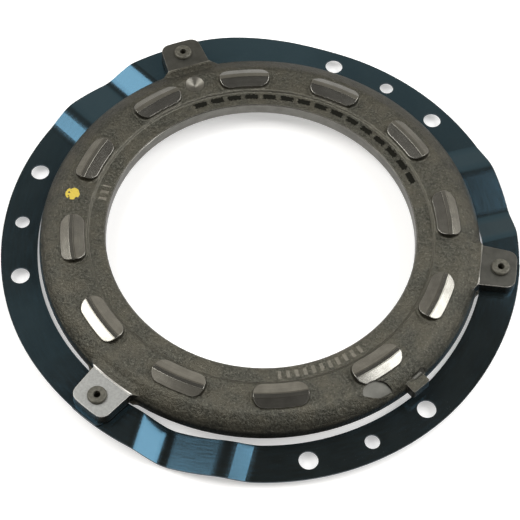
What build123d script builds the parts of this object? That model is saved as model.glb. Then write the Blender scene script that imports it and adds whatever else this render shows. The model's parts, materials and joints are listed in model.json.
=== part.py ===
from build123d import *
import os
from math import cos, degrees, radians, sin, tan

# Clutch pressure plate: a sand-cast ring with turned fulcrum pads, carried on three leaf springs.
#
# Millimetres and degrees.  The origin is the centre of the bolt circle, in the plane on which the
# bolted middles of the leaf springs lie.  +Z points from the friction face to the fulcrum pads.
# Angles run counter-clockwise seen from +Z, and the first lug lies on +X.

SECTORS = 3
SECTOR_ANGLE = 360 / SECTORS

# Main rings, from the bore outwards
BORE_RADIUS = 80.0
RING_WIDTH = 34.4
LEAF_GAP = 1.2  # between the cast ring's wall and the leaf springs
LEAF_WIDTH = 18.8
RING_RADIUS = BORE_RADIUS + RING_WIDTH
LEAF_INNER_RADIUS = RING_RADIUS + LEAF_GAP
LEAF_OUTER_RADIUS = LEAF_INNER_RADIUS + LEAF_WIDTH
BOLT_CIRCLE_RADIUS = LEAF_INNER_RADIUS + LEAF_WIDTH / 2

# Leaf springs: one flat strip of spring steel per sector, bolted at its middle.  Both of its ends
# reach under a lug, where the plain end of one leaf lies on the waved end of the next.
LEAF_THICKNESS = 1.0
LEAF_END_OVERLAP = 4.2  # degrees that each end runs past the middle of its lug
LEAF_CORNER_RADIUS = 3.0
LEAF_SPLIT_ANGLE = 72.5  # the two ends are drawn apart and joined here, in the flat middle
BOLT_HOLE_DIAMETER = 9.5
DOWEL_HOLE_DIAMETER = 7.5
DOWEL_ANGLE = 65.0  # middle of the bolted zone, counted from the sector's lug
BOLT_SPREAD = 15.0  # bolt holes lie this far to each side of the dowel hole

# Waved end of a leaf spring.  The bends are straight and parallel to the radius at WAVE_ANGLE.
# Offsets are measured square to that radius; rises are of the sheet over its flat middle.
WAVE_ANGLE = 25.5
LOWER_SEAT_HEIGHT = 4.35  # underside of the waved end at its lug
WAVE_ENTRY_OFFSET = -31.0
WAVE_TROUGH_OFFSET = -16.0
WAVE_TROUGH_RISE = -2.2
WAVE_CREST_OFFSET = 12.9
WAVE_CREST_RISE = 3.35
WAVE_EXIT_OFFSET = 27.0
WAVE_ENTRY_BEND = 11.0
WAVE_TROUGH_BEND = 14.0
WAVE_CREST_BEND = 20.0
WAVE_EXIT_BEND = 18.0

# Plain end of a leaf spring: one long ramp, with bends parallel to the radius at RAMP_ANGLE
RAMP_ANGLE = 98.0
RAMP_START_OFFSET = -31.0
RAMP_END_OFFSET = 25.0
RAMP_BEND = 200.0
UPPER_SEAT_HEIGHT = LOWER_SEAT_HEIGHT + LEAF_THICKNESS

# Cast ring, with heights counted up from the leaf springs under its lugs
FACE_STANDOFF = 0.35  # the friction face stands this far below the lugs' undersides
BAND_THICKNESS = 8.8  # from the friction face to the band that carries the pads
INNER_BAND_WIDTH = 8.4
INNER_BAND_DROP = 1.4
STEP_WIDTH = 1.0
STEP_BLEND = 1.0
SHOULDER_WIDTH = 9.8
SHOULDER_DROP = 3.6
SHOULDER_BLEND = 10.0
SHOULDER_CORNER = 5.5
WALL_DRAFT = 9.0
MACHINING_STOCK = 1.0
BORE_CHAMFER = 0.5
LUG_UNDERSIDE_HEIGHT = UPPER_SEAT_HEIGHT + LEAF_THICKNESS
FRICTION_FACE_HEIGHT = LUG_UNDERSIDE_HEIGHT - FACE_STANDOFF
CAST_UNDERSIDE_HEIGHT = FRICTION_FACE_HEIGHT - MACHINING_STOCK
BAND_HEIGHT = FRICTION_FACE_HEIGHT + BAND_THICKNESS
INNER_BAND_HEIGHT = BAND_HEIGHT - INNER_BAND_DROP
STEP_RADIUS = BORE_RADIUS + INNER_BAND_WIDTH
SHOULDER_RADIUS = RING_RADIUS - SHOULDER_WIDTH
WALL_HEIGHT = BAND_HEIGHT - SHOULDER_DROP

# Fulcrum pads, which fill the band between its step and its shoulder
PAD_COUNT = 12
PAD_START_ANGLE = 15.0
PAD_HALF_ANGLE = 8.3
PAD_HEIGHT = 3.1
PAD_STEP_GAP = 0.7
PAD_SHOULDER_GAP = 1.7
PAD_DRAFT = 9.0
PAD_END_FLAT = 1.2  # straight end wall left between a pad's two corners
PAD_ROOT_FILLET = 1.0
PAD_INNER_FACET_DROP = 1.4
PAD_RIDGE_WIDTH = 2.5
PAD_FRONT_FACET_WIDTH = 4.4
PAD_FRONT_FACET_DROP = 2.4
PAD_INNER_RADIUS = STEP_RADIUS + STEP_WIDTH + PAD_STEP_GAP
PAD_OUTER_RADIUS = SHOULDER_RADIUS - PAD_SHOULDER_GAP
PAD_CORNER_RADIUS = (PAD_OUTER_RADIUS - PAD_INNER_RADIUS - PAD_END_FLAT) / 2
PAD_TOP_HEIGHT = BAND_HEIGHT + PAD_HEIGHT
PAD_RIDGE_OUTER_RADIUS = PAD_OUTER_RADIUS - PAD_FRONT_FACET_WIDTH
PAD_RIDGE_INNER_RADIUS = PAD_RIDGE_OUTER_RADIUS - PAD_RIDGE_WIDTH

# Lugs
LUG_THICKNESS = 5.75
LUG_TIP_INSET = 2.3  # inside the leaf springs' outer edge
LUG_ROOT_HALF_WIDTH = 11.7
LUG_TIP_HALF_WIDTH = 10.6
LUG_CORNER_RADIUS = 5.0
LUG_DRAFT = 4.0
LUG_STEP_INSET = 0.8  # the milled top ends this far inside the ring's wall
LUG_WEB_RADIUS = 8.0
LUG_WEB_DROP = 3.2  # the root webs start this far below the wall's top
LUG_WEB_SLOPE = 45.0  # and fall off outwards at this angle
LUG_FLANK_LENGTH = 5.5  # along which the ring's shoulder rises to the lug's cast height
LUG_FLANK_SLOPE = 20.0
LUG_FLANK_INSET = 3.6  # the flanks run into the shoulder this far inside the ring's wall
LUG_TOP_HEIGHT = LUG_UNDERSIDE_HEIGHT + LUG_THICKNESS
LUG_CAST_HEIGHT = LUG_TOP_HEIGHT + MACHINING_STOCK
LUG_TIP_RADIUS = LEAF_OUTER_RADIUS - LUG_TIP_INSET
LUG_WEB_HEIGHT = WALL_HEIGHT - LUG_WEB_DROP

# Rivets
RIVET_INSET = 1.1  # inside the bolt circle
RIVET_SHANK_DIAMETER = 6.4
RIVET_CLEARANCE = 0.05
RIVET_HEAD_WIDTH = 1.6  # head beyond the shank, all round
RIVET_HEAD_HEIGHT = 1.7
RIVET_HEAD_ROUND = 1.1
RIVET_EYE_DIAMETER = 3.4
RIVET_EYE_DEPTH = 5.0
RIVET_EYE_FLARE = 0.4
RIVET_BUTTON_WIDTH = 2.5
RIVET_BUTTON_HEIGHT = 2.1
RIVET_BUTTON_ROUND = 1.4
RIVET_CIRCLE_RADIUS = BOLT_CIRCLE_RADIUS - RIVET_INSET
RIVET_HOLE_DIAMETER = RIVET_SHANK_DIAMETER + 2 * RIVET_CLEARANCE

# Nose on the outer wall, and the balance cuts beside and opposite it
NOSE_ANGLE = 321.0
NOSE_HALF_ANGLE = 2.6
NOSE_REACH = 3.5
NOSE_RISE = 0.6  # above the wall's top
NOSE_CORNER_RADIUS = 1.0
NOSE_DRAFT = 4.0
DRILL_ANGLE = 120.9
DRILL_INSET = 15.1  # inside the ring's wall
DRILL_DIAMETER = 10.5
DRILL_POINT_ANGLE = 118.0
SPOT_ANGLE = 310.2
SPOT_INSET = 4.4
SPOT_DROP = 2.35
SPOT_DIAMETER = 16.0
SPOT_TILT = 14.0
SPOT_TURN = 25.0  # the mill leans out in this direction, counted from the radius

MARGIN = 1.0  # how far cutting tools start outside the material


def polar_point(radius, angle):
    """Point in the XY plane at a radius and an angle."""
    return (radius * cos(radians(angle)), radius * sin(radians(angle)))


def at(radius, angle, height=0.0):
    """Place something at a radius and an angle, turned to face outwards."""
    return Rot(0, 0, angle) * Pos(radius, 0, height)


def sector(inner, outer, start, end, corner):
    """Plan of an annular sector with rounded corners."""
    rim = CenterArc((0, 0), outer, start, end - start)
    root = CenterArc((0, 0), inner, start, end - start)
    ends = [Line(rim @ 0, root @ 0), Line(rim @ 1, root @ 1)]
    plan = make_face([rim, root] + ends)
    return fillet(plan.vertices(), corner)


def turned(corners):
    """Solid of revolution about Z from the (radius, height, blend) corners of its profile."""
    points = [(radius, height) for radius, height, _ in corners]
    blends = [blend for _, _, blend in corners]
    return revolve(Plane.XZ * make_face(FilletPolyline(*points, radius=blends, close=True)), Axis.Z)


def through_hole(diameter, radius, angle):
    """Tall cylinder that cuts a hole through the whole part at a radius and an angle."""
    return at(radius, angle) * Cylinder(diameter / 2, 4 * PAD_TOP_HEIGHT)


def bent_strip(bends, angle):
    """Sheet that follows (offset, underside height, bend) corners, drawn square to the radius at angle."""
    points = [(offset, height + LEAF_THICKNESS / 2) for offset, height, _ in bends]
    path = FilletPolyline(*points, radius=[bend for _, _, bend in bends[1:-1]])
    outward = (*polar_point(1, angle), 0)
    across = Plane((0, 0, 0), x_dir=(*polar_point(1, angle + 90), 0), z_dir=outward)
    return extrude(across * trace(path, LEAF_THICKNESS), LEAF_OUTER_RADIUS + MARGIN)


def leaf_window(start, end):
    """Tall block over the leaf spring's plan between two angles, which cuts a bent strip to shape."""
    plan = sector(LEAF_INNER_RADIUS, LEAF_OUTER_RADIUS, -LEAF_END_OVERLAP,
                  SECTOR_ANGLE + LEAF_END_OVERLAP, LEAF_CORNER_RADIUS)
    reach = 2 * LEAF_OUTER_RADIUS
    wedge = Polyline((0, 0), polar_point(reach, start), polar_point(reach, end), close=True)
    return Pos(0, 0, -PAD_TOP_HEIGHT) * extrude(plan & make_face(wedge), 2 * PAD_TOP_HEIGHT)


def waved_end():
    """Waved half of a leaf spring, from under its lug to the flat middle."""
    reach = LEAF_OUTER_RADIUS + MARGIN
    bends = [
        (-reach, LOWER_SEAT_HEIGHT, 0),
        (WAVE_ENTRY_OFFSET, LOWER_SEAT_HEIGHT, WAVE_ENTRY_BEND),
        (WAVE_TROUGH_OFFSET, WAVE_TROUGH_RISE, WAVE_TROUGH_BEND),
        (WAVE_CREST_OFFSET, WAVE_CREST_RISE, WAVE_CREST_BEND),
        (WAVE_EXIT_OFFSET, 0, WAVE_EXIT_BEND),
        (reach, 0, 0),
    ]
    return bent_strip(bends, WAVE_ANGLE) & leaf_window(-2 * LEAF_END_OVERLAP, LEAF_SPLIT_ANGLE)


def plain_end():
    """Ramped half of a leaf spring, from the flat middle to its place on the next leaf spring."""
    reach = LEAF_OUTER_RADIUS + MARGIN
    bends = [
        (-reach, 0, 0),
        (RAMP_START_OFFSET, 0, RAMP_BEND),
        (RAMP_END_OFFSET, UPPER_SEAT_HEIGHT, RAMP_BEND),
        (reach, UPPER_SEAT_HEIGHT, 0),
    ]
    window = leaf_window(LEAF_SPLIT_ANGLE, SECTOR_ANGLE + 2 * LEAF_END_OVERLAP)
    return bent_strip(bends, RAMP_ANGLE) & window


def leaf_spring():
    """Leaf spring of the first sector, with its bolt, dowel and rivet holes."""
    leaf = waved_end() + plain_end()
    for angle in (DOWEL_ANGLE - BOLT_SPREAD, DOWEL_ANGLE + BOLT_SPREAD):
        leaf -= through_hole(BOLT_HOLE_DIAMETER, BOLT_CIRCLE_RADIUS, angle)
    leaf -= through_hole(DOWEL_HOLE_DIAMETER, BOLT_CIRCLE_RADIUS, DOWEL_ANGLE)
    for angle in (0, SECTOR_ANGLE):
        leaf -= through_hole(RIVET_HOLE_DIAMETER, RIVET_CIRCLE_RADIUS, angle)
    return leaf


def rivet():
    """Rivet of the first lug: button head under the leaf ends, rolled head with an eye on the lug."""
    shank = RIVET_SHANK_DIAMETER / 2
    eye = RIVET_EYE_DIAMETER / 2
    head_top = LUG_TOP_HEIGHT + RIVET_HEAD_HEIGHT
    button_underside = LOWER_SEAT_HEIGHT - RIVET_BUTTON_HEIGHT
    body = turned([
        (0, button_underside, 0),
        (shank + RIVET_BUTTON_WIDTH, button_underside, RIVET_BUTTON_ROUND),
        (shank + RIVET_BUTTON_WIDTH, LOWER_SEAT_HEIGHT, 0),
        (shank, LOWER_SEAT_HEIGHT, 0),
        (shank, LUG_TOP_HEIGHT, 0),
        (shank + RIVET_HEAD_WIDTH, LUG_TOP_HEIGHT, 0),
        (shank + RIVET_HEAD_WIDTH, head_top, RIVET_HEAD_ROUND),
        (eye, head_top, RIVET_EYE_FLARE),
        (eye, head_top - RIVET_EYE_DEPTH, 0),
        (0, head_top - RIVET_EYE_DEPTH, 0),
    ])
    return at(RIVET_CIRCLE_RADIUS, 0) * body


def ring_blank():
    """Cast ring without its pads, lugs and nose, with stock left on the bore and the underside."""
    draft_inset = (WALL_HEIGHT - CAST_UNDERSIDE_HEIGHT) * tan(radians(WALL_DRAFT))
    return turned([
        (BORE_RADIUS - MACHINING_STOCK, CAST_UNDERSIDE_HEIGHT, 0),
        (RING_RADIUS, CAST_UNDERSIDE_HEIGHT, 0),
        (RING_RADIUS - draft_inset, WALL_HEIGHT, SHOULDER_CORNER),
        (SHOULDER_RADIUS, BAND_HEIGHT, SHOULDER_BLEND),
        (STEP_RADIUS + STEP_WIDTH, BAND_HEIGHT, STEP_BLEND),
        (STEP_RADIUS, INNER_BAND_HEIGHT, STEP_BLEND),
        (BORE_RADIUS - MACHINING_STOCK, INNER_BAND_HEIGHT, 0),
    ])


def drafted_down(plan, top, draft):
    """Cast solid from a plan at its top down to the cast underside, widening with the draft."""
    return Pos(0, 0, top) * extrude(plan, CAST_UNDERSIDE_HEIGHT - top, taper=-draft)


def lug_plan():
    """Plan of the lug on +X, from inside the ring to its rounded outer corners."""
    side_end = (LUG_TIP_RADIUS**2 - LUG_TIP_HALF_WIDTH**2) ** 0.5
    left = Polyline((BORE_RADIUS, LUG_ROOT_HALF_WIDTH), (RING_RADIUS, LUG_ROOT_HALF_WIDTH),
                    (side_end, LUG_TIP_HALF_WIDTH))
    right = mirror(left, Plane.XZ)
    tip = ThreePointArc(left @ 1, (LUG_TIP_RADIUS, 0), right @ 1)
    plan = make_face([*left.edges(), *right.edges(), tip, Line(left @ 0, right @ 0)])
    return fillet(plan.vertices().sort_by(Axis.X)[-2:], LUG_CORNER_RADIUS)


def web_plan():
    """Plan of the webs that round the lug's root into the ring's wall, on both sides of +X."""
    wall = RING_RADIUS - (LUG_WEB_HEIGHT - CAST_UNDERSIDE_HEIGHT) * tan(radians(WALL_DRAFT))
    centre_y = LUG_ROOT_HALF_WIDTH + LUG_WEB_RADIUS
    centre_x = ((wall + LUG_WEB_RADIUS) ** 2 - centre_y**2) ** 0.5
    inner = BORE_RADIUS / (wall + LUG_WEB_RADIUS)
    wedge = Polyline((BORE_RADIUS, 0), (centre_x, 0), (centre_x, centre_y),
                     (centre_x * inner, centre_y * inner), close=True)
    web = make_face(wedge) - Pos(centre_x, centre_y) * Circle(LUG_WEB_RADIUS)
    return web + mirror(web, Plane.XZ)


def lug_web():
    """Webs at the root of the lug on +X, which fall off outwards."""
    fall = LUG_WEB_HEIGHT - CAST_UNDERSIDE_HEIGHT
    start = RING_RADIUS - fall * tan(radians(WALL_DRAFT))
    slope = turned([
        (BORE_RADIUS, CAST_UNDERSIDE_HEIGHT, 0),
        (start + fall / tan(radians(LUG_WEB_SLOPE)), CAST_UNDERSIDE_HEIGHT, 0),
        (start, LUG_WEB_HEIGHT, 0),
        (BORE_RADIUS, LUG_WEB_HEIGHT, 0),
    ])
    return drafted_down(web_plan(), LUG_WEB_HEIGHT, LUG_DRAFT) & slope


def flank_plan():
    """Plan of the flanks beside the lug on +X, and of the shoulder between them."""
    inner = STEP_RADIUS + STEP_WIDTH
    outer = RING_RADIUS - LUG_STEP_INSET
    end_y = LUG_ROOT_HALF_WIDTH + LUG_FLANK_LENGTH
    end_x = ((RING_RADIUS - LUG_FLANK_INSET) ** 2 - end_y**2) ** 0.5
    half = make_face(Polyline((inner, 0), (outer, 0), (outer, LUG_ROOT_HALF_WIDTH), (end_x, end_y),
                              (inner, end_y), close=True))
    return half + mirror(half, Plane.XZ)


def lug_flanks():
    """Rise of the ring's shoulder to the cast height of the lug on +X."""
    ridge = Pos(RING_RADIUS, 0, LUG_CAST_HEIGHT) * Rectangle(2 * RING_WIDTH, 2 * LUG_ROOT_HALF_WIDTH)
    rise = extrude(ridge, CAST_UNDERSIDE_HEIGHT - LUG_CAST_HEIGHT, taper=LUG_FLANK_SLOPE - 90)
    return drafted_down(flank_plan(), LUG_CAST_HEIGHT, WALL_DRAFT) & rise


def cast_lug():
    """Lug on +X as cast."""
    lug = drafted_down(lug_plan(), LUG_CAST_HEIGHT, LUG_DRAFT)
    return lug + lug_web() + lug_flanks()


def cast_nose():
    """Nose on the outer wall as cast."""
    plan = sector(STEP_RADIUS, RING_RADIUS + NOSE_REACH, NOSE_ANGLE - NOSE_HALF_ANGLE,
                  NOSE_ANGLE + NOSE_HALF_ANGLE, NOSE_CORNER_RADIUS)
    return drafted_down(plan, WALL_HEIGHT + NOSE_RISE, NOSE_DRAFT)


def pad_plan(height):
    """Plan of the pad on +X at a height, where its drafted walls have closed in."""
    inset = (height - BAND_HEIGHT) * tan(radians(PAD_DRAFT))
    half_angle = PAD_HALF_ANGLE - degrees(inset / PAD_OUTER_RADIUS)
    plan = sector(PAD_INNER_RADIUS + inset, PAD_OUTER_RADIUS - inset, -half_angle, half_angle,
                  PAD_CORNER_RADIUS - inset)
    return Pos(0, 0, height) * plan


def cast_pad():
    """Fulcrum pad on +X as cast, with an untrimmed top."""
    return loft([pad_plan(BAND_HEIGHT - MARGIN), pad_plan(PAD_TOP_HEIGHT + MACHINING_STOCK)], ruled=True)


def casting():
    """Ring casting before any machining."""
    ring = ring_blank()
    pads = [at(0, PAD_START_ANGLE + 360 / PAD_COUNT * index) * cast_pad() for index in range(PAD_COUNT)]
    padded = ring + pads
    padded = fillet(new_edges(ring, *pads, combined=padded), PAD_ROOT_FILLET)
    lugs = [at(0, SECTOR_ANGLE * index) * cast_lug() for index in range(SECTORS)]
    return padded + lugs + cast_nose()


def facing_cut():
    """Stock turned off the friction face, and a little more of it under the lugs."""
    start = BORE_RADIUS - 2 * MACHINING_STOCK
    end = LEAF_OUTER_RADIUS + MARGIN
    bottom = CAST_UNDERSIDE_HEIGHT - MARGIN
    return turned([
        (start, bottom, 0),
        (end, bottom, 0),
        (end, LUG_UNDERSIDE_HEIGHT, 0),
        (RING_RADIUS, LUG_UNDERSIDE_HEIGHT, 0),
        (RING_RADIUS - FACE_STANDOFF, FRICTION_FACE_HEIGHT, 0),
        (start, FRICTION_FACE_HEIGHT, 0),
    ])


def bore_cut():
    """Stock turned out of the bore, with a chamfer at each end."""
    flare = BORE_RADIUS + BORE_CHAMFER + MARGIN
    return turned([
        (0, FRICTION_FACE_HEIGHT - MARGIN, 0),
        (flare, FRICTION_FACE_HEIGHT - MARGIN, 0),
        (BORE_RADIUS, FRICTION_FACE_HEIGHT + BORE_CHAMFER, 0),
        (BORE_RADIUS, INNER_BAND_HEIGHT - BORE_CHAMFER, 0),
        (flare, INNER_BAND_HEIGHT + MARGIN, 0),
        (0, INNER_BAND_HEIGHT + MARGIN, 0),
    ])


def pad_cut():
    """Stock turned off the pads: a rising inner facet, a narrow ridge and a falling front facet."""
    start = PAD_INNER_RADIUS - PAD_STEP_GAP
    top = PAD_TOP_HEIGHT + 2 * MACHINING_STOCK
    return turned([
        (start, PAD_TOP_HEIGHT - PAD_INNER_FACET_DROP, 0),
        (PAD_RIDGE_INNER_RADIUS, PAD_TOP_HEIGHT, 0),
        (PAD_RIDGE_OUTER_RADIUS, PAD_TOP_HEIGHT, 0),
        (PAD_OUTER_RADIUS, PAD_TOP_HEIGHT - PAD_FRONT_FACET_DROP, 0),
        (PAD_OUTER_RADIUS, top, 0),
        (start, top, 0),
    ])


def lug_cut():
    """Stock milled off the top of the lug on +X, up to a straight step across its root."""
    return Pos(RING_RADIUS - LUG_STEP_INSET, 0, LUG_TOP_HEIGHT) * Box(
        LEAF_OUTER_RADIUS, 4 * LUG_ROOT_HALF_WIDTH, PAD_TOP_HEIGHT,
        align=(Align.MIN, Align.CENTER, Align.MIN))


def balance_cuts():
    """Drilled dimple on the pad band, and shallow end-milled spot on the shoulder."""
    slope = tan(radians(DRILL_POINT_ANGLE / 2))
    depth = DRILL_DIAMETER / 2 / slope
    point = Cone(0, (depth + MARGIN) * slope, depth + MARGIN, align=(Align.CENTER, Align.CENTER, Align.MIN))
    lean = Rot(0, 0, SPOT_TURN) * Rot(0, SPOT_TILT, 0)
    mill = Cylinder(SPOT_DIAMETER / 2, PAD_TOP_HEIGHT, align=(Align.CENTER, Align.CENTER, Align.MIN))
    return [
        at(RING_RADIUS - DRILL_INSET, DRILL_ANGLE, BAND_HEIGHT - depth) * point,
        at(RING_RADIUS - SPOT_INSET, SPOT_ANGLE, BAND_HEIGHT - SPOT_DROP) * lean * mill,
    ]


def pressure_plate():
    """Machined casting."""
    plate = casting() - facing_cut() - bore_cut() - pad_cut() - balance_cuts()
    for index in range(SECTORS):
        plate -= at(0, SECTOR_ANGLE * index) * lug_cut()
        plate -= through_hole(RIVET_HOLE_DIAMETER, RIVET_CIRCLE_RADIUS, SECTOR_ANGLE * index)
    return plate


def build():
    """Every node of the part, by name."""
    leaf = leaf_spring()
    fastener = rivet()
    nodes = {"pressure_plate": pressure_plate()}
    for index in range(SECTORS):
        turn = at(0, SECTOR_ANGLE * index)
        nodes[f"leaf_spring_{index + 1}"] = turn * leaf
        nodes[f"rivet_{index + 1}"] = turn * fastener
    return nodes


os.makedirs("parts", exist_ok=True)
for name, shape in build().items():
    export_step(shape, f"parts/{name}.step")
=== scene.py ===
import json
import math

import bmesh
import bpy
from mathutils import Matrix, Vector

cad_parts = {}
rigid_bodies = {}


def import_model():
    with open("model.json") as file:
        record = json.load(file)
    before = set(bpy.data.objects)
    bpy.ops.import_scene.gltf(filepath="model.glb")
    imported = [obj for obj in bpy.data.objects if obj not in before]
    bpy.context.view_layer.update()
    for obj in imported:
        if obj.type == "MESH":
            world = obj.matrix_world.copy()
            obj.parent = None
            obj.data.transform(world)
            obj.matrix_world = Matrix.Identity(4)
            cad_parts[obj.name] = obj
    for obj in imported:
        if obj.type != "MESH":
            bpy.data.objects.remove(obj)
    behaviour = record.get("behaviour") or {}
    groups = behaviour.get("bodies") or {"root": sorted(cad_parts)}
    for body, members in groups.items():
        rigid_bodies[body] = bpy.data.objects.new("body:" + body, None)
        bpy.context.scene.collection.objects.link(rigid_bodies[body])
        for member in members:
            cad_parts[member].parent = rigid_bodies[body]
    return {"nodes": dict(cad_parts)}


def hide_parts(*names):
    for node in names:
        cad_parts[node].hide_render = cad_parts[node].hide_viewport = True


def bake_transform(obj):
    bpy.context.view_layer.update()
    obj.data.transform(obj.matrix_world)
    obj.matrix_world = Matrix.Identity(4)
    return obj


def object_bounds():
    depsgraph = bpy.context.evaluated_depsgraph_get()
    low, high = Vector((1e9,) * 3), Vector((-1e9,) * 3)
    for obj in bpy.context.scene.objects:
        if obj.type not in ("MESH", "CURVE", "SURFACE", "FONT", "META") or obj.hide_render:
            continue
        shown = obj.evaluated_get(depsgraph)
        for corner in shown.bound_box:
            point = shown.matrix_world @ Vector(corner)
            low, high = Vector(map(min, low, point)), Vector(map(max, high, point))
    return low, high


# Looks of a clutch pressure plate: a sand-cast ring with turned pads on three blued leaf springs.
# The scene is in metres, in the frame of the CAD.  Places in the materials are in millimetres.  Angles
# are in degrees and run counter-clockwise seen from +Z, from the first lug.

for leftover in list(bpy.data.objects):
    bpy.data.objects.remove(leftover)

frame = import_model()
bpy.context.view_layer.update()
cad_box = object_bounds()

MM = 0.001
SECTOR_ANGLE = 120


def polar(radius, angle, height=0.0):
    """Point at a radius, an angle in degrees and a height."""
    turn = math.radians(angle)
    return Vector((radius * math.cos(turn), radius * math.sin(turn), height))


# Node graphs ---------------------------------------------------------------------------------

BEVEL_SAMPLES = 4


class Graph:
    """Short calls that build a material's node graph."""

    def __init__(self, name):
        self.material = bpy.data.materials.new(name)
        self.material.use_nodes = True
        self.tree = self.material.node_tree
        self.tree.nodes.clear()
        self.output = self.tree.nodes.new("ShaderNodeOutputMaterial")

    def node(self, kind, inputs=(), **settings):
        made = self.tree.nodes.new(kind)
        for key, value in settings.items():
            setattr(made, key, value)
        for key, value in dict(inputs).items():
            self.put(made.inputs[key], value)
        return made

    def put(self, socket, value):
        if isinstance(value, bpy.types.NodeSocket):
            self.tree.links.new(value, socket)
        else:
            socket.default_value = value

    def math(self, operation, first, second=0.0):
        return self.node("ShaderNodeMath", {0: first, 1: second}, operation=operation).outputs[0]

    def ramp(self, value, low, high, to_low=0.0, to_high=1.0):
        """Smooth step from to_low to to_high while value goes from low to high."""
        inputs = {"Value": value, "From Min": low, "From Max": high, "To Min": to_low, "To Max": to_high}
        return self.node("ShaderNodeMapRange", inputs, interpolation_type="SMOOTHSTEP").outputs[0]

    def band(self, value, low, high, soft):
        """1 between low and high, falling to 0 over soft on both sides."""
        rise = self.ramp(value, low - soft, low)
        fall = self.ramp(value, high, high + soft, 1.0, 0.0)
        return self.product(rise, fall)

    def mix(self, factor, first, second):
        """Mix of two colours."""
        made = self.node("ShaderNodeMix", data_type="RGBA")
        self.put(made.inputs[0], factor)
        for socket, value in ((made.inputs[6], first), (made.inputs[7], second)):
            self.put(socket, value if isinstance(value, bpy.types.NodeSocket) else (*value, 1.0))
        return made.outputs[2]

    def product(self, *values):
        """Product of several values.  For masks it is where all of them are 1."""
        result = values[0]
        for value in values[1:]:
            result = self.math("MULTIPLY", result, value)
        return result

    def largest(self, *values):
        """Largest of several values.  For masks it is where any of them is 1."""
        result = values[0]
        for value in values[1:]:
            result = self.math("MAXIMUM", result, value)
        return result

    def length(self, first, second):
        """Length of a vector given by two values."""
        squares = self.math("ADD", self.product(first, first), self.product(second, second))
        return self.math("SQRT", squares)

    def blend(self, factor, first, second):
        """Mix of two numbers."""
        made = self.node("ShaderNodeMix", data_type="FLOAT")
        for socket, value in zip((made.inputs[0], *made.inputs[2:4]), (factor, first, second)):
            self.put(socket, value)
        return made.outputs[0]

    def noise(self, vector, scale, detail, roughness, distortion=0.0):
        inputs = {"Vector": vector, "Scale": scale, "Detail": detail, "Roughness": roughness,
                  "Distortion": distortion}
        return self.node("ShaderNodeTexNoise", inputs).outputs["Fac"]

    def vector(self, x, y, z):
        return self.node("ShaderNodeCombineXYZ", {0: x, 1: y, 2: z}).outputs[0]

    def dot(self, first, second):
        made = self.node("ShaderNodeVectorMath", {0: first, 1: second}, operation="DOT_PRODUCT")
        return made.outputs["Value"]

    def bevelled_normal(self, radius):
        """Normal as if the edges were rounded with that radius."""
        return self.node("ShaderNodeBevel", {"Radius": radius}, samples=BEVEL_SAMPLES).outputs[0]

    def bump(self, height, distance, strength, normal=None):
        made = self.node("ShaderNodeBump", {"Height": height, "Distance": distance, "Strength": strength})
        if normal is not None:
            self.put(made.inputs["Normal"], normal)
        return made.outputs[0]

    def surface(self, **inputs):
        shader = self.node("ShaderNodeBsdfPrincipled")
        for key, value in inputs.items():
            self.put(shader.inputs[key.replace("_", " ")], value)
        self.tree.links.new(shader.outputs[0], self.output.inputs[0])
        return self.material


class Place:
    """Where a shaded point lies on the part, in millimetres and degrees, and how far its normal points up."""

    def __init__(self, graph):
        coordinates = graph.node("ShaderNodeTexCoord")
        inputs = {0: coordinates.outputs["Object"], "Scale": 1 / MM}
        self.point = graph.node("ShaderNodeVectorMath", inputs, operation="SCALE").outputs[0]
        split = graph.node("ShaderNodeSeparateXYZ", {0: self.point})
        self.x, self.y, self.height = split.outputs
        self.radius = graph.length(self.x, self.y)
        self.angle = graph.product(graph.math("ARCTAN2", self.y, self.x), 180 / math.pi)
        self.up = graph.node("ShaderNodeSeparateXYZ", {0: coordinates.outputs["Normal"]}).outputs[2]


def edge_wear(graph, place, radius, low=0.35, high=0.6):
    """1 on edges, broken up by noise.  The lower low and high are, the more of the edge is worn."""
    normal = graph.node("ShaderNodeNewGeometry").outputs["Normal"]
    same = graph.dot(graph.bevelled_normal(radius), normal)
    patchy = graph.noise(place.point, 0.8, 4.0, 0.7)
    return graph.product(graph.ramp(same, 0.98, 0.85), graph.ramp(patchy, low, high))


def near(graph, place, radius, angle, reach, soft):
    """1 inside a circle of that reach, in plan, around a point given by its radius and angle."""
    spot = polar(radius, angle)
    dx = graph.math("SUBTRACT", place.x, spot.x)
    dy = graph.math("SUBTRACT", place.y, spot.y)
    return graph.ramp(graph.length(dx, dy), reach, reach + soft, 1.0, 0.0)


def repeated(graph, value, start, period, share, soft):
    """1 over the first share of every period of a value, counted from start."""
    turns = graph.math("DIVIDE", graph.math("SUBTRACT", value, start), period)
    return graph.band(graph.math("FRACT", turns), soft, share, soft)


# Materials -----------------------------------------------------------------------------------

# Casting: ranges of radius, height (millimetres) and angle (degrees)
INNER_BAND_HEIGHT = (13.2, 13.6)
STEP_RADIUS = (86.0, 90.5)
BORE_RADIUS = (80.25, 80.5)
PAD_START_HEIGHT = (15.2, 15.35)
PAD_OUTER_RADIUS = (104, 104.2)
PAD_RIDGE_RADIUS = (96.35, 98.15)
PAD_GROOVE_RADII = ((95.9, 96.1), (98.5, 98.6))  # the lines along both sides of the ridge
RIM_RADIUS = (104.0, 112.4)  # over which the rim falls away to the wall
RIM_FALL = -0.024  # times the square of the distance into the rim
WALL_START_RADIUS = (106, 108)
LUG_START_RADIUS = (113.3, 113.5)
LUG_TOP_HEIGHT = (11.95, 12.25)
LUG_STEP_HEIGHT = (12.2, 13.2)
LUG_FLANK_RADIUS = (112.5, 113.5)
LUG_FLANK_HEIGHT = (11.3, 11.6)

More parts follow.
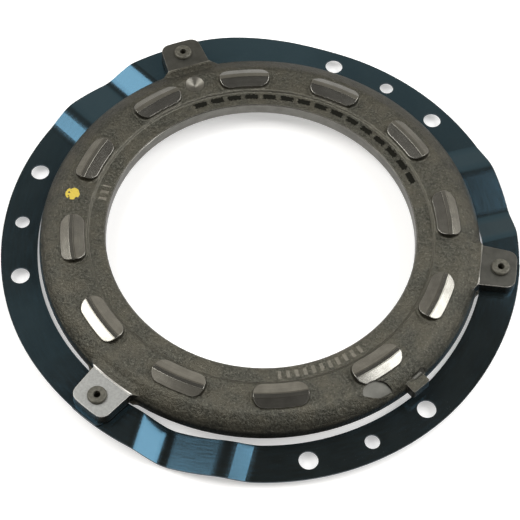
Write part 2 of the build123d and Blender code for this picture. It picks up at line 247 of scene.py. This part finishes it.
# Casting: round spots as radius, angle, reach and softness
FRESH_LUG = (122.0, 240, 15.0, 1.0)
EDGE_HIGHLIGHT_CORNER = (122.0, 352, 11.0, 1.0)  # painted edge highlight on a corner of the first lug
DRILL_DIMPLE = (99.3, 120.9, 5.0, 0.3)
MILLED_SPOT = (107.0, 310.9, 7.4, 0.3)
MILLED_SPOT_RADIUS = (102.4, 111.0)
MILLED_SPOT_HEIGHT = (14.6, 14.4)  # keeps it off the pad beside it
MILLED_STRIP = (112.0, 322.8, 3.6, 0.5)
MILLED_STRIP_RADIUS = (111.0, 113.0)
PAINT_DAB = (99.8, 178.6, 2.2, 2.6)

# Casting: plain marks, which carry no text
INK_RADIUS = (84.2, 87.0)
INK_ANGLE = (30, 126)
INK_PERIOD = 6.4
INK_SHARE = 0.72
BAR_RADIUS = (82.4, 86.2)
BAR_ANGLES = ((172, 179.5), (-75, -44))
BAR_PERIOD = 2.9
BAR_SHARE = 0.45


class Machining:
    """Masks of the casting's turned and milled surfaces."""

    def __init__(self, graph, place):
        self.pads = graph.product(
            graph.ramp(place.height, *PAD_START_HEIGHT), graph.ramp(place.up, 0.80, 0.86),
            graph.ramp(place.radius, *PAD_OUTER_RADIUS, 1.0, 0.0))
        bore = graph.ramp(place.radius, *BORE_RADIUS, 1.0, 0.0)
        friction_face = graph.ramp(place.up, -0.9, -0.8, 1.0, 0.0)
        self.turned = graph.largest(self.pads, bore, friction_face)
        self.ridge = graph.product(self.pads, graph.band(place.radius, *PAD_RIDGE_RADIUS, 0.28))
        grooves = [graph.band(place.radius, *radii, 0.25) for radii in PAD_GROOVE_RADII]
        self.grooves = graph.product(self.pads, graph.largest(*grooves))

        beyond_wall = graph.ramp(place.radius, *LUG_START_RADIUS)
        lug_tops = graph.product(graph.band(place.height, *LUG_TOP_HEIGHT, 0.05), beyond_wall,
                                 graph.ramp(place.up, 0.95, 0.99))
        self.lug_steps = graph.product(graph.band(place.height, *LUG_STEP_HEIGHT, 0.05), beyond_wall)
        spot = graph.product(
            near(graph, place, *MILLED_SPOT), graph.band(place.radius, *MILLED_SPOT_RADIUS, 0.3),
            graph.ramp(place.up, 0.955, 0.965), graph.ramp(place.height, *MILLED_SPOT_HEIGHT))
        strip = graph.product(near(graph, place, *MILLED_STRIP),
                              graph.band(place.radius, *MILLED_STRIP_RADIUS, 0.4))
        self.milled = graph.largest(lug_tops, self.lug_steps, spot, strip)
        self.drill = near(graph, place, *DRILL_DIMPLE)


class Marks:
    """Masks of the casting's marks: plain ink dashes, a dab of paint and plain raised bars."""

    def __init__(self, graph, place):
        flat = graph.ramp(place.up, 0.9, 0.97)
        inner_band = graph.product(flat, graph.band(place.height, *INNER_BAND_HEIGHT, 0.1))

        wander = graph.product(graph.math("SUBTRACT", graph.noise(place.point, 0.9, 3.0, 0.6), 0.5), 2.4)
        ink_radius = graph.math("ADD", place.radius, wander)
        ink_angle = graph.math("ADD", place.angle, wander)
        self.ink = graph.product(inner_band, graph.band(ink_radius, *INK_RADIUS, 0.3),
                                 graph.band(ink_angle, *INK_ANGLE, 0.3),
                                 repeated(graph, ink_angle, INK_ANGLE[0], INK_PERIOD, INK_SHARE, 0.04))

        blotchy = graph.ramp(graph.noise(place.point, 0.45, 2.0, 0.5), 0.30, 0.50)
        dab = graph.product(flat, graph.product(near(graph, place, *PAINT_DAB), blotchy))
        self.dab = graph.ramp(dab, 0.30, 0.42)
        self.painted = graph.largest(self.ink, self.dab)

        rows = [graph.band(place.angle, *angles, 0.3) for angles in BAR_ANGLES]
        self.bars = graph.product(
            inner_band, graph.band(place.radius, *BAR_RADIUS, 0.5), graph.largest(*rows),
            repeated(graph, place.angle, 0, BAR_PERIOD, BAR_SHARE, 0.12))


def sand_cast_colour(graph, place, grain, coarse, bars):
    """Colour of the casting where no tool has cut it, with painted shade on its outer walls and a painted
    highlight on the inner step.
    """
    specks = graph.noise(place.point, 0.95, 3.0, 0.6)
    pits = graph.noise(place.point, 0.9, 2.0, 0.4, 0.5)
    colour = graph.mix(graph.ramp(grain, 0.32, 0.70), (0.023, 0.023, 0.018), (0.082, 0.081, 0.066))
    colour = graph.mix(graph.ramp(coarse, 0.35, 0.7, 0.0, 0.7), colour, (0.080, 0.074, 0.056))
    colour = graph.mix(graph.ramp(specks, 0.54, 0.76, 0.0, 0.5), colour, (0.20, 0.195, 0.16))
    colour = graph.mix(graph.ramp(pits, 0.36, 0.28, 0.0, 0.7), colour, (0.028, 0.026, 0.020))
    # Painted shade: the outer walls, where they turn away from the top, are darkened towards black.
    wall_shade = graph.product(graph.ramp(place.radius, *WALL_START_RADIUS), graph.ramp(place.up, 0.70, 0.35))
    colour = graph.mix(graph.product(wall_shade, 0.72), colour, (0.012, 0.012, 0.010))
    colour = graph.mix(graph.product(bars, 0.45), colour, (0.24, 0.225, 0.19))
    # Painted highlight: the sloping face of the inner step is lightened.
    step_highlight = graph.product(graph.band(place.radius, *STEP_RADIUS, 0.3), graph.ramp(place.up, 0.97, 0.85))
    return graph.mix(graph.product(step_highlight, 0.6), colour, (0.16, 0.155, 0.13))


def turned_colour(graph, machining, stain, fine):
    """Colour of the pads, the bore and the friction face."""
    colour = graph.mix(graph.ramp(stain, 0.35, 0.65), (0.235, 0.230, 0.210), (0.295, 0.290, 0.265))
    colour = graph.mix(graph.ramp(fine, 0.42, 0.62, 0.0, 0.3), colour, (0.17, 0.16, 0.14))
    colour = graph.mix(graph.product(machining.ridge, 0.4), colour, (0.19, 0.185, 0.16))
    return graph.mix(machining.grooves, colour, (0.15, 0.145, 0.125))


def milled_colour(graph, machining, stain, grain, fresh):
    """Colour of the lugs and the milled patches: dull, and bright on the lug that was milled last. The lug
    steps carry a painted highlight, near white on that lug and fainter on the others.
    """
    dull = graph.mix(graph.ramp(stain, 0.3, 0.7), (0.055, 0.055, 0.048), (0.080, 0.079, 0.070))
    light = graph.mix(graph.ramp(grain, 0.3, 0.7), (0.30, 0.305, 0.295), (0.40, 0.405, 0.395))
    # Painted highlight on the lug steps: near white on the lug milled last, fainter on the others.
    step_highlight = graph.mix(fresh, (0.20, 0.195, 0.17), (0.90, 0.89, 0.86))
    return graph.mix(machining.lug_steps, graph.mix(fresh, dull, light), step_highlight)


def cast_iron():
    """Sand-cast iron with turned and milled surfaces, worn edges and plain marks, with painted highlights on
    the lug edges, the lug steps and the inner step, and painted shade on the outer walls.
    """
    graph = Graph("cast_iron_look")
    place = Place(graph)
    machining = Machining(graph, place)
    marks = Marks(graph, place)
    turned, cut = machining.turned, graph.largest(machining.milled, machining.drill)
    grain = graph.noise(place.point, 0.75, 5.0, 0.7)
    coarse = graph.noise(place.point, 0.10, 3.0, 0.6)
    stain = graph.noise(place.point, 0.16, 4.0, 0.6)
    round_axis = graph.vector(graph.product(place.radius, 3.0), graph.product(place.height, 3.0),
                              graph.product(place.angle, 0.03))
    turning_lines = graph.noise(round_axis, 1.0, 3.0, 0.6)

    fresh = near(graph, place, *FRESH_LUG)
    # Spots of painted edge highlight: the lug milled last and a corner of the first lug.
    edge_highlight = graph.largest(fresh, near(graph, place, *EDGE_HIGHLIGHT_CORNER))
    on_lug = graph.product(graph.ramp(place.radius, *LUG_FLANK_RADIUS),
                           graph.ramp(place.height, *LUG_FLANK_HEIGHT))
    # Edges are worn lighter all round. On the lugs near the highlight spots they are raised to full strength
    # as a painted highlight.
    worn = graph.product(edge_wear(graph, place, 0.7 * MM, 0.25, 0.45),
                         graph.ramp(graph.product(on_lug, edge_highlight), 0.0, 1.0, 0.35, 1.0))

    colour = graph.mix(turned, sand_cast_colour(graph, place, grain, coarse, marks.bars),
                       turned_colour(graph, machining, stain, turning_lines))
    colour = graph.mix(machining.milled, colour, milled_colour(graph, machining, stain, grain, fresh))
    colour = graph.mix(machining.drill, colour, (0.13, 0.125, 0.108))
    # Worn edges are a light grey. At the highlight spots the near white is a painted highlight.
    colour = graph.mix(worn, colour, graph.mix(edge_highlight, (0.40, 0.39, 0.36), (0.80, 0.78, 0.74)))
    colour = graph.mix(marks.ink, colour, (0.011, 0.011, 0.009))
    colour = graph.mix(marks.dab, colour, (0.52, 0.40, 0.05))

    metal = graph.product(graph.largest(graph.product(turned, 0.92), 0.75),
                          graph.math("SUBTRACT", 1.0, marks.painted))
    rough = graph.blend(turned, graph.ramp(grain, 0.3, 0.7, 0.30, 0.42), 0.22)
    rough = graph.blend(cut, rough, 0.42)
    rough = graph.blend(marks.painted, rough, 0.7)
    shine = graph.math("SUBTRACT", 0.5, graph.product(marks.ink, 0.5))

    inside, outside = RIM_RADIUS
    into_rim = graph.math("MINIMUM", graph.math("MAXIMUM", place.radius, inside), outside)
    into_rim = graph.math("SUBTRACT", into_rim, inside)
    fall = graph.product(graph.product(into_rim, into_rim), RIM_FALL)
    normal = graph.bump(fall, 1.0 * MM, 1.0, graph.bevelled_normal(0.6 * MM))
    covered = graph.largest(turned, machining.milled, machining.drill, graph.product(marks.painted, 0.5))
    uncut = graph.math("SUBTRACT", 1.0, covered)
    sand = graph.product(graph.math("ADD", graph.product(grain, 0.9), coarse), uncut)
    normal = graph.bump(sand, 0.8 * MM, 0.8, normal)
    raised = graph.math("ADD", marks.bars, graph.product(machining.ridge, 0.35))
    normal = graph.bump(raised, 0.3 * MM, 0.8, normal)
    lines = graph.product(turning_lines, graph.largest(turned, machining.milled))
    normal = graph.bump(lines, 0.03 * MM, 0.3, normal)
    return graph.surface(Base_Color=colour, Metallic=metal, Roughness=rough, Specular_IOR_Level=shine,
                         Normal=normal)


def blued_steel():
    """Spring steel with a blue film: a dark base whose tinted mirror images make the blue."""
    graph = Graph("blued_steel_look")
    place = Place(graph)
    cloud = graph.noise(place.point, 0.05, 4.0, 0.6)
    along = graph.vector(graph.product(place.radius, 1.2), graph.product(place.angle, 0.2), 0.0)
    streak = graph.noise(along, 1.0, 3.0, 0.5)
    dust = graph.noise(place.point, 1.1, 3.0, 0.6)
    colour = graph.mix(graph.ramp(cloud, 0.35, 0.65), (0.0035, 0.0050, 0.0045), (0.0055, 0.0075, 0.0070))
    colour = graph.mix(graph.ramp(dust, 0.62, 0.76, 0.0, 0.25), colour, (0.055, 0.06, 0.055))
    worn = graph.product(edge_wear(graph, place, 0.4 * MM), 0.35)
    colour = graph.mix(worn, colour, (0.14, 0.15, 0.15))
    height = graph.math("ADD", graph.product(streak, 0.5), graph.product(dust, 0.5))
    return graph.surface(Base_Color=colour, Roughness=graph.ramp(streak, 0.3, 0.7, 0.13, 0.20), Metallic=0.0,
                         IOR=1.84, Specular_Tint=(0.28, 0.68, 1.0, 1.0),
                         Coat_Weight=0.18, Coat_Roughness=0.45, Normal=graph.bump(height, 0.06 * MM, 0.3))


def rivet_steel():
    """Dull, oiled steel."""
    graph = Graph("rivet_steel_look")
    place = Place(graph)
    grime = graph.noise(place.point, 0.7, 4.0, 0.65)
    fine = graph.noise(place.point, 3.0, 3.0, 0.6)
    colour = graph.mix(graph.ramp(grime, 0.35, 0.65), (0.060, 0.058, 0.046), (0.110, 0.106, 0.086))
    worn = graph.product(edge_wear(graph, place, 0.5 * MM), 0.4)
    colour = graph.mix(worn, colour, (0.26, 0.25, 0.22))
    return graph.surface(Base_Color=colour, Roughness=graph.ramp(fine, 0.3, 0.7, 0.46, 0.6), Metallic=0.4,
                         Normal=graph.bump(fine, 0.1 * MM, 0.4))


# Leaf springs --------------------------------------------------------------------------------

LEAF_CUT_ANGLE = 57.5  # the two halves of a leaf spring meet here, on its bolted flat
LEAF_CUT_STEP = 1.5  # degrees between the cuts that make a half fine enough to bend
CUT_TOLERANCE = 1e-7
NO_AREA = 1e-24
# Half, its first and last angle, and the angles between which it bends from one body to the other
LEAF_HALVES = (("wave", -8.0, LEAF_CUT_ANGLE, 47.0, 7.0), ("ramp", LEAF_CUT_ANGLE, 128.0, 83.0, 113.0))


def normal_at(mesh, triangle, point):
    """Shading normal of the CAD mesh at a point of one of its triangles."""
    loops = mesh.polygons[triangle].loop_indices
    corners = [mesh.vertices[mesh.loops[i].vertex_index].co for i in loops]
    normals = [mesh.corner_normals[i].vector for i in loops]
    a, b, c = corners
    u, v, w = b - a, c - a, point - a
    uu, uv, vv, wu, wv = u.dot(u), u.dot(v), v.dot(v), w.dot(u), w.dot(v)
    scale = uu * vv - uv * uv
    if abs(scale) < NO_AREA:
        return normals[0]
    s = min(1.0, max(0.0, (vv * wu - uv * wv) / scale))
    t = min(1.0, max(0.0, (uu * wv - uv * wu) / scale))
    return ((1 - s - t) * normals[0] + s * normals[1] + t * normals[2]).normalized()


def cut_leaf(source, low, high):
    """Part of a leaf spring's CAD mesh between two angles, cut finely, and the triangle each face is from."""
    work = bmesh.new()
    work.from_mesh(source)
    origin = work.faces.layers.int.new("origin")
    for face in work.faces:
        face[origin] = face.index
    cuts = int(round((high - low) / LEAF_CUT_STEP))
    for index in range(cuts + 1):
        across = polar(1.0, low + (high - low) * index / cuts + 90)
        bmesh.ops.bisect_plane(work, geom=work.verts[:] + work.edges[:] + work.faces[:], dist=CUT_TOLERANCE,
                               plane_co=(0, 0, 0), plane_no=across,
                               clear_inner=index == 0, clear_outer=index == cuts)
    work.normal_update()
    return work, [face[origin] for face in work.faces]


def make_leaf(index):
    """Both halves of a leaf spring, cut finely and shaded with the normals of its CAD mesh."""
    node = f"leaf_spring_{index + 1}"
    first = SECTOR_ANGLE * index
    source = frame["nodes"][node].data
    for kind, start, end, fixed, moving in LEAF_HALVES:
        work, triangles = cut_leaf(source, first + start, first + end)
        mesh = bpy.data.meshes.new(f"{node}_{kind}")
        work.to_mesh(mesh)
        work.free()
        normals = []
        for polygon, triangle in zip(mesh.polygons, triangles):
            polygon.use_smooth = True
            for corner in polygon.loop_indices:
                point = mesh.vertices[mesh.loops[corner].vertex_index].co
                normals.append(normal_at(source, triangle, point))
        mesh.normals_split_custom_set(normals)
        half = bpy.data.objects.new(f"{node}_{kind}", mesh)
        bpy.context.scene.collection.objects.link(half)
        mesh.materials.clear()
        mesh.materials.append(BLUED)
        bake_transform(half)
        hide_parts(node)


CAST = cast_iron()
BLUED = blued_steel()
RIVET = rivet_steel()
frame["nodes"]["pressure_plate"].data.materials[0] = CAST
for number in (1, 2, 3):
    frame["nodes"][f"rivet_{number}"].data.materials[0] = RIVET
for number in range(3):
    make_leaf(number)


# Stage ---------------------------------------------------------------------------------------

CAMERA_AZIMUTH = 6.391  # the camera is turned about Z by this much from looking along +Y
CAMERA_ELEVATION = 58.564
CAMERA_ROLL = 3.572
CAMERA_DISTANCE = 747.18 * MM
CAMERA_SHIFT = (0.268 * MM, 9.38 * MM)  # of the plate's middle from the picture's, aside and up
CAMERA_LIFT = 0.5 * MM
LENS = 99.05
SENSOR_WIDTH = 36.0
LAMP_DISTANCE = 1.5
FLOOR_REACH = 6.0
FLOOR_DROP = 2.2 * MM  # the leaf springs also stay above the floor when the plate is pressed down
WHITE = (1.0, 1.0, 1.0)


def make_floor():
    """White floor that keeps the part's shadow.  It is dimmer to the light that bounces off it."""
    mesh = bpy.data.meshes.new("floor")
    height = cad_box[0].z - FLOOR_DROP
    corners = [(-1, -1), (1, -1), (1, 1), (-1, 1)]
    mesh.from_pydata([(x * FLOOR_REACH, y * FLOOR_REACH, height) for x, y in corners], [], [(0, 1, 2, 3)])
    floor = bpy.data.objects.new("floor", mesh)
    bpy.context.scene.collection.objects.link(floor)
    graph = Graph("floor_white")
    path = graph.node("ShaderNodeLightPath")
    seen = path.outputs["Is Camera Ray"]
    mirrored = path.outputs["Is Glossy Ray"]
    glow = graph.math("ADD", graph.product(seen, 0.40), graph.product(mirrored, 0.30))
    graph.surface(Base_Color=graph.mix(seen, (0.30, 0.30, 0.30), (0.80, 0.80, 0.80)), Roughness=0.9,
                  Specular_IOR_Level=0.0, Emission_Color=(*WHITE, 1.0), Emission_Strength=glow)
    mesh.materials.append(graph.material)


def seen_from_camera(azimuth, elevation):
    """Direction given by its elevation and by its azimuth as the camera sees it."""
    rise = math.radians(elevation)
    return polar(math.cos(rise), azimuth + CAMERA_AZIMUTH, math.sin(rise))


def make_softbox(name, azimuth, elevation, width, height, radiance):
    """Rectangular area light that faces the object."""
    data = bpy.data.lights.new(name, "AREA")
    data.shape = "RECTANGLE"
    data.size = width
    data.size_y = height
    data.energy = radiance * math.pi * width * height  # a lamp's power is pi times its radiance and area
    lamp = bpy.data.objects.new(name, data)
    towards = seen_from_camera(azimuth, elevation)
    lamp.location = towards * LAMP_DISTANCE
    lamp.rotation_mode = "QUATERNION"
    lamp.rotation_quaternion = towards.to_track_quat("Z", "Y")
    bpy.context.scene.collection.objects.link(lamp)


class WorldGraph(Graph):
    """Node graph of the world."""

    def __init__(self, world):
        world.use_nodes = True
        self.tree = world.node_tree
        self.tree.nodes.clear()
        self.output = self.tree.nodes.new("ShaderNodeOutputWorld")


def cone(graph, direction, azimuth, elevation, reach, end, inside):
    """A level that is inside within reach degrees of a direction and 1 from end degrees on."""
    towards = graph.dot(direction, seen_from_camera(azimuth, elevation))
    return graph.ramp(towards, math.cos(math.radians(end)), math.cos(math.radians(reach)), 1.0, inside)


def make_world():
    """Grey studio, darker overhead and behind the camera.  The camera itself sees it white."""
    world = bpy.data.worlds.new("studio")
    graph = WorldGraph(world)
    direction = graph.node("ShaderNodeTexCoord").outputs["Generated"]
    rise = graph.node("ShaderNodeSeparateXYZ", {0: direction}).outputs[2]
    away = graph.dot(direction, polar(1.0, 90 + CAMERA_AZIMUTH))
    level = graph.product(
        graph.ramp(rise, 0.74, 0.84, 0.66, 0.19),
        graph.ramp(rise, 0.0, 0.5, 0.7, 1.0),
        graph.ramp(away, -0.45, 0.1, 0.22, 1.0),
        # A dark gap that the flat steel mirrors, a bright side, and a dim spot beside the gap
        cone(graph, direction, azimuth=86, elevation=68, reach=11, end=15.5, inside=0.05),
        cone(graph, direction, azimuth=-150, elevation=42, reach=12, end=38, inside=4.5),
        cone(graph, direction, azimuth=112, elevation=50, reach=3, end=9, inside=0.5))
    seen = graph.node("ShaderNodeLightPath").outputs["Is Camera Ray"]
    inputs = {"Color": graph.mix(seen, (1.0, 0.94, 0.83), WHITE), "Strength": graph.blend(seen, level, 1.0)}
    background = graph.node("ShaderNodeBackground", inputs)
    graph.tree.links.new(background.outputs[0], graph.output.inputs[0])
    bpy.context.scene.world = world


make_floor()
make_world()
make_softbox("softbox_left", azimuth=171, elevation=52.3, width=0.94, height=1.02, radiance=5.2)
make_softbox("softbox_right", azimuth=10.7, elevation=45.6, width=1.38, height=0.98, radiance=5.0)


def make_camera():
    """Camera that was fitted to the circles in the photograph."""
    elevation, roll = math.radians(CAMERA_ELEVATION), math.radians(CAMERA_ROLL)
    aside, above = CAMERA_SHIFT
    forward = Vector((0, math.cos(elevation), -math.sin(elevation)))
    right = Vector((1, 0, 0))
    up = right.cross(forward)
    across = math.cos(roll) * right + math.sin(roll) * up
    upright = -math.sin(roll) * right + math.cos(roll) * up
    place = -(aside * across + above * upright + CAMERA_DISTANCE * forward)
    turn = Matrix.Rotation(math.radians(CAMERA_AZIMUTH), 4, "Z")
    pose = Matrix((across, upright, -forward)).transposed().to_4x4()
    pose.translation = place
    data = bpy.data.cameras.new("camera")
    data.lens = LENS
    data.sensor_width = SENSOR_WIDTH
    camera = bpy.data.objects.new("camera", data)
    bpy.context.scene.collection.objects.link(camera)
    camera.matrix_world = Matrix.Translation((0, 0, CAMERA_LIFT)) @ turn @ pose
    bpy.context.scene.camera = camera


make_camera()
bpy.context.scene.view_settings.view_transform = "Standard"

bpy.context.view_layer.update()
